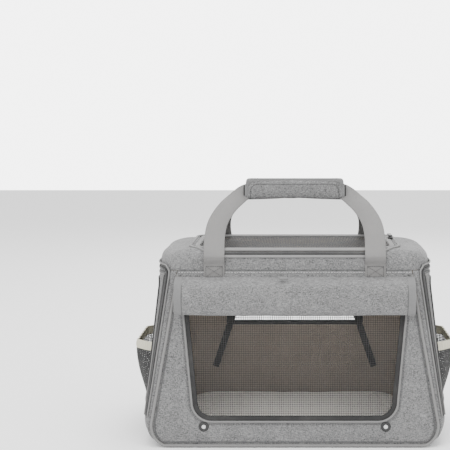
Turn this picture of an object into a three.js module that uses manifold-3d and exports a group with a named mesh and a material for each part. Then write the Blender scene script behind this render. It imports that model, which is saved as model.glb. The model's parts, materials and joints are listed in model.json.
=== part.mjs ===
// A soft-sided pet carrier: a fabric bag with mesh windows, two zipped side doors, a zipped mesh
// lid, a rolled-up front flap, webbing handles with a padded wrap, and side-release buckles.
// Millimetres, +Z up, front towards -Y, origin on the floor under the middle of the bag.
import * as THREE from 'three';
import { mergeVertices } from 'three/addons/utils/BufferGeometryUtils.js';
import Module from 'manifold-3d';

const wasm = await Module();
wasm.setup();

// Driving dimensions.
const bag = {
  height: 300,      // floor to the flat top
  halfBase: 240,    // half width at the middle of the depth, at the floor
  halfTop: 206,     // the same at the top
  depthBase: 140,   // half depth at the floor
  depthTop: 110,    // the same at the top
  bulgeBase: 12,    // how far each side stands out from the face edges, at the base
  bulgeTop: 34,     // and at the top
  wrap: 70,         // depth over which the side curves round to the face
  foot: 40,         // radius of the lower corners, seen from the front
  crown: 20,        // radius of the top edge
  cloth: 3,         // thickness of the padded fabric
};
const gap = 0.4;             // clearance between neighbouring pieces
const rimHeight = 269;       // seam under the top
const strapFoot = 256;       // lower end of the front straps, under the flap's seam
const door = { low: 42, high: 267.6, edgeAngle: 28, frameAngle: 62, gap: 1.6, sill: 41.6, band: 20 };
const lid = { half: 150, front: -86, back: 88, corner: 50, frame: 12 };
const frontWindow = { low: 41, high: 238, halfLow: 155, halfHigh: 170, corner: 28, binding: 6 };
const backWindow = { low: 143, high: 223, half: 118, halfArch: 78, binding: 6 };
const piping = { radius: 2, inset: 2.6 };
const mesh = 1;              // thickness of the net
const board = { halfWidth: 165, halfDepth: 128, corner: 20, low: 3.4, thick: 4 };
const pad = { halfWidth: 180, halfDepth: 130, corner: 40, low: 7.8, thick: 18 };
const webbing = { width: 32, thick: 2.2, root: 122, bow: 121, top: 98, join: 376 };
const pivot = { y: 116, z: 292 };       // where each handle loop bends over the top edge
const grip = {
  half: 82, low: 366, high: 404, thick: 13, corner: 6, slotHigh: 34, slotThick: 3.4, slotAt: 3.6,
};
const backStrap = { width: 30, xHigh: 119, zHigh: 288, xLow: 166, zLow: 104 };
const sleeve = { half: 125, low: 94, high: 120, thick: 2.5, room: 8, foot: 7, band: 4 };
const roll = { half: 181, centre: 227, high: 54, deep: 27.2, lift: 5.2, binding: 3 };
const snap = { x: 139, z: 31, radius: 8, eye: 3, thick: 3 };
const pocket = { half: 82, low: 66, high: 152, elasticLow: 138, foot: 3, stand: 27, thick: 2 };
const buckle = { x: 169, z: 62, standOff: 3, width: 32, thick: 10, plate: 2.5, corner: 4 };
const slider = { width: 8, length: 12, thick: 4.5, pull: 30, pullWidth: 6, pullThick: 2 };

const { lerp, degToRad } = THREE.MathUtils;
const lean = Math.atan((bag.depthBase - bag.depthTop) / bag.height);
const upSlope = (z) => z / Math.cos(lean);

// Materials.
const material = (color, roughness, metalness = 0) => () => (
  new THREE.MeshStandardMaterial({ color, roughness, metalness })
);
const heather = material(0xa6a6a6, 0.95);
const padding = material(0xd8d5cc, 0.98);
const boardGrey = material(0x4a4a4a, 0.8);
const net = material(0x3a3a3a, 0.8);
const binding = material(0x1c1c1c, 0.85);
const lightPiping = material(0xb4b2ae, 0.8);
const strapGrey = material(0xa3a19c, 0.85);
const elastic = material(0xd9d5c4, 0.85);
const blackPlastic = material(0x111111, 0.4);

// Solids and geometries.
function toSolid(geometry) {
  const bare = geometry.index ? geometry.toNonIndexed() : geometry.clone();
  bare.deleteAttribute('normal');
  bare.deleteAttribute('uv');
  const merged = mergeVertices(bare, 1e-4);
  return new wasm.Manifold(new wasm.Mesh({
    numProp: 3,
    vertProperties: new Float32Array(merged.attributes.position.array),
    triVerts: new Uint32Array(merged.index.array),
  }));
}

function toGeometry(solid) {
  const result = solid.getMesh();
  const geometry = new THREE.BufferGeometry();
  geometry.setAttribute('position', new THREE.BufferAttribute(result.vertProperties, 3));
  geometry.setIndex(new THREE.BufferAttribute(result.triVerts, 1));
  return geometry;
}

const box = (x0, x1, y0, y1, z0, z1) => new THREE.BoxGeometry(x1 - x0, y1 - y0, z1 - z0)
  .translate((x0 + x1) / 2, (y0 + y1) / 2, (z0 + z1) / 2);
const boxSolid = (...sides) => toSolid(box(...sides));

// A closed skin through convex rings of equal length, each ring counter-clockwise from above.
function loft(rings) {
  const count = rings[0].length;
  const positions = rings.flat().flatMap((point) => point.toArray());
  const index = [];
  for (let level = 0; level < rings.length - 1; level += 1) {
    for (let i = 0; i < count; i += 1) {
      const next = (i + 1) % count;
      const [a, b] = [level * count + i, level * count + next];
      index.push(a, b, b + count, a, b + count, a + count);
    }
  }
  const last = (rings.length - 1) * count;
  for (let i = 1; i < count - 1; i += 1) {
    index.push(0, i + 1, i);
    index.push(last, last + i, last + i + 1);
  }
  const geometry = new THREE.BufferGeometry();
  geometry.setAttribute('position', new THREE.Float32BufferAttribute(positions, 3));
  geometry.setIndex(index);
  return geometry;
}

function roundedRectangle(x0, x1, y0, y1, radius) {
  const shape = new THREE.Shape();
  shape.moveTo(x0 + radius, y0);
  shape.lineTo(x1 - radius, y0);
  shape.absarc(x1 - radius, y0 + radius, radius, -Math.PI / 2, 0);
  shape.absarc(x1 - radius, y1 - radius, radius, 0, Math.PI / 2);
  shape.absarc(x0 + radius, y1 - radius, radius, Math.PI / 2, Math.PI);
  shape.absarc(x0 + radius, y0 + radius, radius, Math.PI, Math.PI * 1.5);
  return shape;
}

function plate(shape, low, high, curveSegments = 5) {
  const settings = { depth: high - low, bevelEnabled: false, curveSegments };
  return new THREE.ExtrudeGeometry(shape, settings).translate(0, 0, low);
}

function polygon(points) {
  return new THREE.Shape(points.map(([x, y]) => new THREE.Vector2(x, y)));
}

// The bag's outer form.
const sideHalf = (z) => lerp(bag.halfBase, bag.halfTop, z / bag.height);
const depthHalf = (z) => lerp(bag.depthBase, bag.depthTop, z / bag.height);

function footFactor(z) {
  const below = Math.max(0, bag.foot - z) / bag.foot;
  return Math.sqrt(1 - below * below);
}

function crownInset(z) {
  const above = Math.max(0, z - (bag.height - bag.crown));
  return bag.crown - Math.sqrt(Math.max(0, bag.crown ** 2 - above ** 2));
}

const bulge = (z) => lerp(bag.bulgeBase, bag.bulgeTop, z / bag.height);
const faceHalf = (z) => sideHalf(z) - bulge(z) - bag.foot * (1 - footFactor(z)) - crownInset(z);

// A point of the outer skin in the front right quarter: angle 0 at the face edge, 90 at the side.
function skinPoint(z, angle, inset = 0) {
  const turn = degToRad(angle);
  const x = faceHalf(z) + bulge(z) * footFactor(z) * Math.sin(turn) - inset;
  const y = depthHalf(z) - crownInset(z) - bag.wrap * (1 - Math.cos(turn)) - inset;
  return new THREE.Vector3(x, -y, z);
}

const edgeDepth = (z, angle) => depthHalf(z) - bag.wrap * (1 - Math.cos(degToRad(angle)));

function bagRing(z, height, inset) {
  const quarter = Array.from({ length: 8 }, (_, i) => skinPoint(z, (i / 7) * 90, inset));
  const back = quarter.map(({ x, y }) => new THREE.Vector3(x, -y, z)).reverse();
  const right = [...quarter, ...back];
  const left = right.map(({ x, y }) => new THREE.Vector3(-x, -y, z));
  return [...right, ...left].map((point) => point.setZ(height));
}

const arcSteps = (count) => Array.from({ length: count + 1 }, (_, i) => (i / count) * (Math.PI / 2));
const levels = [
  ...arcSteps(5).slice(0, -1).map((angle) => bag.foot * (1 - Math.cos(angle))),
  bag.foot,
  bag.height - bag.crown,
  ...arcSteps(4).slice(1).map((angle) => bag.height - bag.crown * (1 - Math.sin(angle))),
];

const outer = toSolid(loft(levels.map((z) => bagRing(z, z, 0))));
const innerHeight = (z) => lerp(bag.cloth, bag.height - bag.cloth, z / bag.height);
const inner = toSolid(loft(levels.map((z) => bagRing(z, innerHeight(z), bag.cloth))));
const skin = outer.subtract(inner);

// The outline of the flat front and back faces, in the face's own plane.
function faceShape(low, high, inset) {
  const heights = [low, ...levels.filter((z) => z > low && z < high && z <= bag.foot), high];
  const right = heights.map((z) => [faceHalf(z) - inset, upSlope(z)]);
  const left = right.map(([x, s]) => [-x, s]).reverse();
  return polygon([...right, ...left]);
}

// A group that lies in a face: X across, Y up the slope, Z outwards.
function faceGroup(turned) {
  const tilt = new THREE.Group();
  tilt.position.y = -bag.depthBase;
  tilt.rotation.x = Math.PI / 2 - lean;
  const turn = new THREE.Group();
  turn.rotation.z = turned ? Math.PI : 0;
  turn.add(tilt);
  turn.updateMatrixWorld(true);
  return { turn, tilt };
}

const front = faceGroup(false);
const back = faceGroup(true);
const faceCut = (face) => toSolid(
  plate(faceShape(0, rimHeight + 5, -2 * gap), -bag.cloth - gap, 10).applyMatrix4(face.tilt.matrixWorld),
);
const faceCuts = faceCut(front).add(faceCut(back));

// A trapezoid across the whole bag between the two zip lines of a side door.
function doorRegion(angle, low, high, spare) {
  const half = (z) => edgeDepth(z, angle) + spare;
  const shape = polygon([[-half(low), low], [half(low), low], [half(high), high], [-half(high), high]]);
  const across = plate(shape, -300, 300);
  const axes = new THREE.Matrix4().makeBasis(
    new THREE.Vector3(0, 1, 0), new THREE.Vector3(0, 0, 1), new THREE.Vector3(1, 0, 0),
  );
  return toSolid(across.applyMatrix4(axes));
}

const object = new THREE.Group();
object.name = 'pet_carrier_bag';
object.add(front.turn, back.turn);

function add(parent, name, geometry, look) {
  const part = new THREE.Mesh(geometry, look());
  part.name = name;
  parent.add(part);
  return part;
}

const addSolid = (name, solid, look) => add(object, name, toGeometry(solid), look);
const sides = [['left', -1], ['right', 1]];

// Bottom, corner gussets and the top rim, cut from one skin.
function addShell() {
  const floorHalf = faceHalf(0) - 10;
  const floorDeep = bag.depthBase - 1;
  const floor = boxSolid(-floorHalf, floorHalf, -floorDeep, floorDeep, -1, bag.cloth + 0.1);
  const ends = doorRegion(door.edgeAngle, -1, door.sill, -gap / 2);
  const tray = skin.intersect(ends.add(floor)).subtract(faceCuts);
  addSolid('bottom_panel', tray, heather);

  const floorCut = boxSolid(-floorHalf - gap, floorHalf + gap, -200, 200, -1, bag.cloth + 0.2);
  const below = boxSolid(-300, 300, -200, 200, -1, rimHeight - gap / 2);
  const strips = skin.intersect(below)
    .subtract(doorRegion(door.edgeAngle, -1, door.sill + gap, gap / 2))
    .subtract(doorRegion(door.edgeAngle, door.sill, bag.height, door.gap / 2))
    .subtract(floorCut)
    .subtract(faceCuts);
  const depths = [['front', -200, -10], ['back', 10, 200]];
  for (const [depthName, y0, y1] of depths) {
    for (const [sideName, side] of sides) {
      const [x0, x1] = side < 0 ? [-300, -10] : [10, 300];
      const quarter = boxSolid(x0, x1, y0, y1, -1, 300);
      addSolid(`gusset_${depthName}_${sideName}`, strips.intersect(quarter), heather);
    }
  }

  const above = boxSolid(-300, 300, -200, 200, rimHeight + gap / 2, bag.height + 1);
  const hole = toSolid(plate(lidShape(-gap), rimHeight, bag.height + 5));
  addSolid('top_rim', skin.intersect(above).subtract(hole), heather);
}

const lidShape = (inset) => roundedRectangle(
  -lid.half + inset, lid.half - inset, lid.front + inset, lid.back - inset, lid.corner - inset,
);

function addLid() {
  const low = bag.height - bag.cloth;
  const frame = lidShape(0);
  frame.holes.push(lidShape(lid.frame));
  add(object, 'lid_frame', plate(frame, low, bag.height - 0.2), heather);
  add(object, 'lid_mesh', plate(lidShape(lid.frame + gap), low + 1, low + 1 + mesh), net);
}

// Inside: a stiff board with a pad on it.
function addFloor() {
  const flat = ({ halfWidth, halfDepth, corner, low, thick }) => plate(
    roundedRectangle(-halfWidth, halfWidth, -halfDepth, halfDepth, corner), low, low + thick,
  );
  add(object, 'base_board', flat(board), boardGrey);
  add(object, 'floor_pad', flat(pad), padding);
}

function windowShape(inset) {
  const { low, high, halfLow, halfHigh, corner } = frontWindow;
  const [bottom, top] = [upSlope(low) + inset, upSlope(high) - inset];
  const radius = corner - inset;
  const shape = new THREE.Shape();
  shape.moveTo(-halfHigh + inset, top);
  shape.lineTo(-halfLow + inset, bottom + radius);
  shape.absarc(-halfLow + inset + radius, bottom + radius, radius, Math.PI, Math.PI * 1.5);
  shape.absarc(halfLow - inset - radius, bottom + radius, radius, -Math.PI / 2, 0);
  shape.lineTo(halfHigh - inset, top);
  return shape;
}

function archShape(inset) {
  const { low, high, half, halfArch } = backWindow;
  const [bottom, top] = [upSlope(low) + inset, upSlope(high) - inset];
  const [wide, narrow] = [half - inset, halfArch - inset];
  const shape = new THREE.Shape();
  shape.moveTo(-wide, bottom);
  shape.lineTo(wide, bottom);
  shape.bezierCurveTo(wide - 2, bottom + 34, narrow + 26, top, narrow - 8, top);
  shape.lineTo(-narrow + 8, top);
  shape.bezierCurveTo(-narrow - 26, top, -wide + 2, bottom + 34, -wide, bottom);
  return shape;
}

const faceLow = bag.cloth * Math.sin(lean);    // keeps the leaning panels' inner edge on the floor

// A face panel with a bound mesh window, and the piping round its edge.
function addFace(face, name, opening, bindingWidth) {
  const panel = faceShape(faceLow, rimHeight - gap / 2, 0);
  panel.holes.push(opening(0));
  add(face.tilt, `${name}_panel`, plate(panel, -bag.cloth, 0), heather);
  const ring = opening(gap);
  ring.holes.push(opening(bindingWidth));
  add(face.tilt, `${name}_window_binding`, plate(ring, -bag.cloth, 0), binding);
  add(face.tilt, `${name}_window_mesh`, plate(opening(bindingWidth + gap), -2, -2 + mesh), net);

  const height = piping.radius + gap;
  const heights = [rimHeight - 4, bag.foot, ...arcSteps(5).slice(1).map((a) => bag.foot * (1 - Math.sin(a)))];
  const right = heights.map((z) => {
    const lifted = Math.max(z, piping.inset);
    return new THREE.Vector3(faceHalf(z) - piping.inset, upSlope(lifted), height);
  });
  const left = right.map(({ x, y }) => new THREE.Vector3(-x, y, height)).reverse();
  const route = new THREE.CurvePath();
  const points = [...right, ...left];
  points.slice(1).forEach((point, i) => route.add(new THREE.LineCurve3(points[i], point)));
  const round = new THREE.Shape().absarc(0, 0, piping.radius, 0, Math.PI * 2);
  const cord = new THREE.ExtrudeGeometry(round, {
    steps: 60, curveSegments: 4, bevelEnabled: false, extrudePath: new THREE.CatmullRomCurve3(
      route.getSpacedPoints(40), false, 'centripetal',
    ),
  });
  add(face.tilt, `${name}_piping`, cord, lightPiping);
}

// Side doors: a fabric frame with a net in it, and a gathered pocket with an elastic edge outside.
function addDoors() {
  const whole = skin.intersect(doorRegion(door.edgeAngle, door.low, door.high, -door.gap / 2));
  const [netLow, netHigh] = [door.low + door.band, door.high - door.band];
  const hole = doorRegion(door.frameAngle, netLow, netHigh, 0);
  const thinOuter = toSolid(loft(levels.map((z) => bagRing(z, z, 1))));
  const thinInner = toSolid(loft(levels.map((z) => bagRing(z, innerHeight(z), 1 + mesh))));
  const netRegion = doorRegion(door.frameAngle, netLow + gap, netHigh - gap, -gap);
  const nets = thinOuter.subtract(thinInner).intersect(netRegion);
  for (const [name, side] of sides) {
    const half = side < 0 ? boxSolid(-300, -100, -200, 200, 0, 300) : boxSolid(100, 300, -200, 200, 0, 300);
    addSolid(`door_frame_${name}`, whole.subtract(hole).intersect(half), heather);
    addSolid(`door_mesh_${name}`, nets.intersect(half), net);
    addPocket(name, side);
  }
}

function pocketRing(z, inset, side) {
  const rise = (z - pocket.low) / (pocket.high - pocket.low);
  const stand = lerp(pocket.foot, pocket.stand, Math.sin(rise * Math.PI / 2)) - inset;
  const half = pocket.half - inset;
  const base = sideHalf(z) + gap - (inset ? 5 : 0);
  const steps = Array.from({ length: 13 }, (_, i) => -1 + i / 6);
  const curve = steps.map((u) => {
    const bow = Math.sqrt(Math.max(0, 1 - Math.abs(u) ** 3));
    return new THREE.Vector3(sideHalf(z) + gap + Math.max(0.8, stand * bow), u * half, z);
  });
  const ring = [...curve, new THREE.Vector3(base, half, z), new THREE.Vector3(base, -half, z)];
  return side > 0 ? ring : ring.map(({ x, y }) => new THREE.Vector3(-x, -y, z));
}

function addPocket(name, side) {
  const heights = [0, 0.25, 0.5, 0.75, 1].map((t) => lerp(pocket.low, pocket.high, t));
  const full = toSolid(loft(heights.map((z) => pocketRing(z, 0, side))));
  const hollow = toSolid(loft([
    ...heights.map((z, i) => pocketRing(i ? z : z + pocket.thick, pocket.thick, side)),
    pocketRing(pocket.high, pocket.thick, side).map((point) => point.clone().setZ(pocket.high + 5)),
  ]));
  const wall = full.subtract(hollow);
  const lower = boxSolid(-300, 300, -200, 200, 0, pocket.elasticLow - gap / 2);
  const upper = boxSolid(-300, 300, -200, 200, pocket.elasticLow + gap / 2, 300);
  addSolid(`pocket_${name}`, wall.intersect(lower), net);
  addSolid(`pocket_elastic_${name}`, wall.intersect(upper), elastic);
}

// Handle loops of webbing that meet in a padded wrap made of two wings.
function strip(points, thick) {
  return plate(polygon(points), -thick / 2, thick / 2);
}

// One arm of a loop, laid flat: it rises straight from its root, then bows in towards the wrap.
function armShape(length, side) {
  const centre = new THREE.QuadraticBezierCurve(
    new THREE.Vector2(webbing.root, 0),
    new THREE.Vector2(webbing.bow, length * 0.62),
    new THREE.Vector2(webbing.top, length - 4),
  );
  const edge = (offset) => centre.getPoints(6).map((point, i) => {
    const tangent = centre.getTangent(i / 6);
    return [side * (point.x + tangent.y * offset), point.y - tangent.x * offset];
  });
  const half = webbing.width / 2;
  const outline = [...edge(-half), ...edge(half).reverse()];
  return side > 0 ? outline.reverse() : outline;
}

function handleLoop(sign) {
  const reach = pivot.y - grip.slotAt;
  const rise = webbing.join - pivot.z;
  const place = (angle) => new THREE.Matrix4()
    .makeTranslation(0, sign * pivot.y, pivot.z)
    .multiply(new THREE.Matrix4().makeRotationX(angle));
  const slope = Math.atan2(rise, reach);
  const armAngle = sign < 0 ? slope : Math.PI - slope;
  const arms = sides.map(([, side]) => (
    toSolid(strip(armShape(Math.hypot(reach, rise), side), webbing.thick).applyMatrix4(place(armAngle)))
  ));
  const [low, high] = [grip.low + 3, grip.high - 3];
  const end = webbing.top + 9;
  const right = [[end, low], [end, low + 8], [webbing.top - 12, high]];
  const left = right.map(([x, z]) => [-x, z]).reverse();
  const bar = strip([...right, ...left], webbing.thick);
  bar.rotateX(Math.PI / 2).translate(0, sign * grip.slotAt, 0);
  return arms[0].add(arms[1]).add(toSolid(bar));
}

function addHandle() {
  for (const [name, sign] of [['front', -1], ['back', 1]]) {
    addSolid(`handle_webbing_${name}`, handleLoop(sign), strapGrey);
    const middle = (grip.low + grip.high) / 2;
    const [y0, y1] = sign < 0 ? [-grip.thick, -gap / 2] : [gap / 2, grip.thick];
    const section = roundedRectangle(y0, y1, grip.low, grip.high, grip.corner);
    const axes = new THREE.Matrix4().makeBasis(
      new THREE.Vector3(0, 1, 0), new THREE.Vector3(0, 0, 1), new THREE.Vector3(1, 0, 0),
    );
    const wing = toSolid(plate(section, -grip.half, grip.half).applyMatrix4(axes));
    const slot = boxSolid(
      -200, 200, sign * grip.slotAt - grip.slotThick / 2, sign * grip.slotAt + grip.slotThick / 2,
      middle - grip.slotHigh / 2, middle + grip.slotHigh / 2,
    );
    addSolid(`handle_wrap_${name}`, wing.subtract(slot), heather);
  }
  const half = webbing.width / 2;
  for (const [name, side] of sides) {
    const x = side * webbing.root;
    const low = upSlope(strapFoot);
    const high = upSlope(pivot.z - 14);
    const rootStrip = polygon([[x - half, low], [x + half, low], [x + half, high], [x - half, high]]);
    add(front.tilt, `front_strap_${name}`, plate(rootStrip, gap, gap + webbing.thick), strapGrey);
  }
}

// Back straps, buckles and the tails that tie the buckles down.
function addBackStraps() {
  const { width, xHigh, zHigh, xLow, zLow } = backStrap;
  const half = width / 2;
  const [foot, head] = [upSlope(zLow), upSlope(zHigh)];
  const points = [[xLow - half, foot], [xLow + half, foot], [xHigh + half, head], [xHigh - half, head]];
  for (const [name, side] of sides) {
    const shape = side < 0 ? points : points.map(([x, s]) => [-x, s]).reverse();
    add(back.tilt, `back_strap_${name}`, plate(polygon(shape), gap, gap + webbing.thick), strapGrey);
    addBuckle(name, side);
  }
}

function addBuckle(name, side) {
  const frame = new THREE.Group();
  frame.position.set(-side * buckle.x, upSlope(buckle.z), buckle.standOff);
  back.tilt.add(frame);
  const [half, thick, wall] = [buckle.width / 2, buckle.thick, buckle.plate];
  const block = (x0, x1, y0, y1, z0, z1) => (
    toSolid(plate(roundedRectangle(x0, x1, y0, y1, buckle.corner), z0, z1))
  );
  const addPart = (part, solid) => add(frame, `buckle_${part}_${name}`, toGeometry(solid), blackPlastic);
  const [catchLow, catchHigh] = [wall + 0.6, thick - wall - 0.6];

  const female = block(-half, half, -30, 8, 0, thick)
    .subtract(boxSolid(-half - 1, half + 1, -18, 9, wall, thick - wall))
    .subtract(boxSolid(-13, 13, -26, -21, -1, thick + 1));
  addPart('female', female);
  const male = block(-half, half, 8 + gap, 32, 1, thick - 1)
    .add(boxSolid(-4, 4, -15, 12, catchLow, catchHigh))
    .subtract(boxSolid(-13, 13, 20, 25, -1, thick + 1));
  addPart('male', male);
  for (const [prong, out] of [['inner', 1], ['outer', -1]]) {
    const arm = polygon([[10, 8], [14, 8], [14, -6], [15.6, -7], [15.6, -12], [12, -15], [10, -15]]
      .map(([x, y]) => [x * out * side, y]));
    addPart(`prong_${prong}`, toSolid(plate(arm, catchLow, catchHigh)));
  }
  const tail = roundedRectangle(-13, 13, upSlope(12) - frame.position.y, -30 - gap, 1);
  const under = gap - buckle.standOff;
  add(frame, `buckle_tail_${name}`, plate(tail, under, under + webbing.thick), strapGrey);
}

// The sleeve that slides over a trolley handle, standing off the back panel.
function addSleeve() {
  const { half, low, high, thick, room, foot } = sleeve;
  const [bottom, top] = [upSlope(low), upSlope(high)];
  const face = polygon([[-half, bottom], [half, bottom], [half, top], [-half, top]]);
  const band = plate(face, gap, gap + room + thick);
  const room3d = box(-half + foot, half - foot, bottom - 1, top + 1, gap - 1, gap + room);
  add(back.tilt, 'luggage_sleeve', toGeometry(toSolid(band).subtract(toSolid(room3d))), heather);
  const outside = gap * 2 + room + thick;
  const strips = [['lower', bottom], ['upper', top - sleeve.band]];
  for (const [name, start] of strips) {
    const end = start + sleeve.band;
    const tape = polygon([[-half, start], [half, start], [half, end], [-half, end]]);
    add(back.tilt, `sleeve_band_${name}`, plate(tape, outside, outside + 1), binding);
  }
}

// The front flap, rolled up above the window, with its bound ends and toggle.
function addRoll() {
  const axis = new THREE.Matrix4().makeBasis(
    new THREE.Vector3(0, 0, 1), new THREE.Vector3(0, 1, 0), new THREE.Vector3(-1, 0, 0),
  );
  const [halfDeep, halfHigh] = [roll.deep / 2, roll.high / 2];
  const middle = new THREE.Vector2(roll.lift + halfDeep, upSlope(roll.centre));
  const oval = new THREE.Shape().absellipse(middle.x, middle.y, halfDeep, halfHigh, 0, Math.PI * 2);
  const piece = (x0, x1) => plate(oval, -x1, -x0, 12).applyMatrix4(axis);
  const { half, binding: wide } = roll;
  add(front.tilt, 'flap_roll', piece(-half + wide + gap, half - wide - gap), heather);
  add(front.tilt, 'flap_binding_left', piece(-half, -half + wide), strapGrey);
  add(front.tilt, 'flap_binding_right', piece(half - wide, half), strapGrey);
  const toggle = new THREE.CapsuleGeometry(2.4, 9, 4, 10).rotateZ(Math.PI / 2);
  toggle.translate(-17, middle.y + halfHigh + 3.4, middle.x + 2);
  add(front.tilt, 'flap_toggle', toggle, blackPlastic);
}

function addSnaps() {
  for (const [name, side] of sides) {
    const profile = [
      [snap.eye, 0],
      [snap.radius, 0],
      [snap.radius, 1.6],
      [snap.radius - 1.5, snap.thick],
      [snap.eye + 1, snap.thick],
      [snap.eye, 1.6],
      [snap.eye, 0],
    ];
    const ring = new THREE.LatheGeometry(profile.map(([x, y]) => new THREE.Vector2(x, y)), 24);
    ring.rotateX(Math.PI / 2);
    ring.translate(side * snap.x, upSlope(snap.z), gap);
    add(front.tilt, `snap_${name}`, ring, blackPlastic);
  }
}

// Zip sliders, each with a swinging pull. In a slider's own frame Z runs up the zip and Y outwards.
function addSlider(name, origin, along, outward) {
  const frame = new THREE.Group();
  const across = new THREE.Vector3().crossVectors(outward, along).normalize();
  const out = new THREE.Vector3().crossVectors(along, across).normalize();
  frame.matrix.makeBasis(across, out, along).setPosition(origin);
  frame.matrix.decompose(frame.position, frame.quaternion, frame.scale);
  object.add(frame);
  const { width, length, thick, pull, pullWidth, pullThick } = slider;
  const lying = new THREE.Matrix4().makeRotationX(Math.PI / 2);
  const flat = (shape, y0, y1) => plate(shape, -y1, -y0).applyMatrix4(lying);
  const body = roundedRectangle(-width / 2, width / 2, -length / 2, length / 2, 2.5);
  add(frame, `${name}_slider`, flat(body, gap, gap + thick), blackPlastic);
  const tab = roundedRectangle(-pullWidth / 2, pullWidth / 2, -pull, 1, 0.9);
  const low = gap + thick + 0.6;
  add(frame, `${name}_pull`, flat(tab, low, low + pullThick), blackPlastic);
}

function addZips() {
  for (const [name, side] of sides) {
    const angle = door.edgeAngle - 11;
    const top = skinPoint(258, angle);
    const bottom = skinPoint(58, angle);
    const mirrored = (point) => new THREE.Vector3(side * point.x, -point.y, point.z);
    const along = mirrored(top).sub(mirrored(bottom)).normalize();
    const ahead = mirrored(skinPoint(258, angle + 3)).sub(mirrored(skinPoint(258, angle - 3)));
    const outward = new THREE.Vector3().crossVectors(ahead, along).multiplyScalar(-side);
    const lift = outward.clone().normalize().multiplyScalar(0.5);
    addSlider(`door_zip_${name}`, mirrored(top).add(lift), along, outward);
  }
  const top = new THREE.Vector3(lid.half + slider.width / 2 + 2, 30, bag.height);
  addSlider('lid_zip', top, new THREE.Vector3(0, -1, 0), new THREE.Vector3(0, 0, 1));
}

addShell();
addLid();
addFloor();
addFace(front, 'front', windowShape, frontWindow.binding);
addFace(back, 'back', archShape, backWindow.binding);
addDoors();
addHandle();
addBackStraps();
addSleeve();
addRoll();
addSnaps();
addZips();

export default object;
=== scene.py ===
import json
import math
import bpy
from mathutils import Matrix, Vector, geometry, kdtree, noise

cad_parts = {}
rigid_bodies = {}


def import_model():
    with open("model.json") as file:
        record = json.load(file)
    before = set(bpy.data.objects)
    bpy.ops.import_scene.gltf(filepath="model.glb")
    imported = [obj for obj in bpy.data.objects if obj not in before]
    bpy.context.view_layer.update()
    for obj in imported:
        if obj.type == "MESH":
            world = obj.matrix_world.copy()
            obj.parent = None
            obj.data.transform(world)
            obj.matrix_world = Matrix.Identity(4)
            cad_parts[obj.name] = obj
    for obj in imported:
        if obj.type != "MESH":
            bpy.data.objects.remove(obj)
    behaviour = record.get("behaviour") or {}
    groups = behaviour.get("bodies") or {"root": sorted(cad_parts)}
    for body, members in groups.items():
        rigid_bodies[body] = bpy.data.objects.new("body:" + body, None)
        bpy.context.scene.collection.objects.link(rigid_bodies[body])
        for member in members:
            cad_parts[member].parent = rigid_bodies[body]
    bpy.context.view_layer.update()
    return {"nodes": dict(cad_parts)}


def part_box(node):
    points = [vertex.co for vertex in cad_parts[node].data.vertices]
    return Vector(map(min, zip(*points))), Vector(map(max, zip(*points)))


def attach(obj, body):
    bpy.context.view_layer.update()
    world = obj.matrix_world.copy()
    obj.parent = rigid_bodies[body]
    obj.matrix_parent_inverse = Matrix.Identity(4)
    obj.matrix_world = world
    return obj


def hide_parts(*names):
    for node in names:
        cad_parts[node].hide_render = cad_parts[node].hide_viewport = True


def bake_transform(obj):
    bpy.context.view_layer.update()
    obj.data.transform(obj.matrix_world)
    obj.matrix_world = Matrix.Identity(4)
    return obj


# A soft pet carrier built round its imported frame. Metres, front towards -Y.
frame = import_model()
print("frame loaded")

bag = dict(height=0.3, halfBase=0.24, halfTop=0.206, depthBase=0.14, depthTop=0.11,
           bulgeBase=0.012, bulgeTop=0.034, wrap=0.07, foot=0.04, crown=0.02, seam=0.269)
lean = math.atan((bag["depthBase"] - bag["depthTop"]) / bag["height"])
bagMiddle = Vector((0, 0, 0.15))
sides = (("left", -1), ("right", 1))
bagFaces = ((-1, "front"), (1, "back"))


def mix(a, b, t):
    return a + (b - a) * t


# modelling helpers

def clearSelection():
    if bpy.context.object and bpy.context.object.mode != "OBJECT":
        bpy.ops.object.mode_set(mode="OBJECT")
    bpy.ops.object.select_all(action="DESELECT")


def pick(piece):
    clearSelection()
    piece.select_set(True)
    bpy.context.view_layer.objects.active = piece


def applyModifier(piece, kind, **settings):
    pick(piece)
    modifier = piece.modifiers.new(kind.title(), kind)
    for key, value in settings.items():
        setattr(modifier, key, value)
    bpy.ops.object.modifier_apply(modifier=modifier.name)


def editAll(piece, *steps):
    pick(piece)
    bpy.ops.object.mode_set(mode="EDIT")
    bpy.ops.mesh.select_all(action="SELECT")
    for step in steps:
        step()
    bpy.ops.object.mode_set(mode="OBJECT")


def merge():
    bpy.ops.mesh.remove_doubles(threshold=0.00002)


def turnOutward():
    bpy.ops.mesh.normals_make_consistent(inside=False)


def gridPiece(name, cols, rows, place, uv=(1, 1), away=bagMiddle):
    clearSelection()
    bpy.ops.mesh.primitive_grid_add(x_subdivisions=cols, y_subdivisions=rows, size=1)
    piece = bpy.context.object
    piece.name = piece.data.name = name
    spots = [(v.co.x + 0.5, v.co.y + 0.5) for v in piece.data.vertices]
    layer = piece.data.uv_layers[0]
    for loop in piece.data.loops:
        u, v = spots[loop.vertex_index]
        layer.data[loop.index].uv = uv(u, v) if callable(uv) else (u * uv[0], v * uv[1])
    for vertex, (u, v) in zip(piece.data.vertices, spots):
        vertex.co = place(u, v)
    editAll(piece, merge)
    if away is not None:
        facing = sum((f.center - away).dot(f.normal) * f.area for f in piece.data.polygons)
        if facing < 0:
            editAll(piece, bpy.ops.mesh.flip_normals)
    return piece


def thicken(piece, depth, offset=-1, rounds=0, lining=False):
    while lining and len(piece.data.materials) < 2:
        piece.data.materials.append(None)   # the inner wall takes the second material
    applyModifier(piece, "SOLIDIFY", thickness=depth, offset=offset, use_even_offset=depth > 0.001,
                  material_offset=1 if lining else 0)
    if rounds:
        applyModifier(piece, "SUBSURF", levels=rounds, render_levels=rounds)
    return piece


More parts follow.
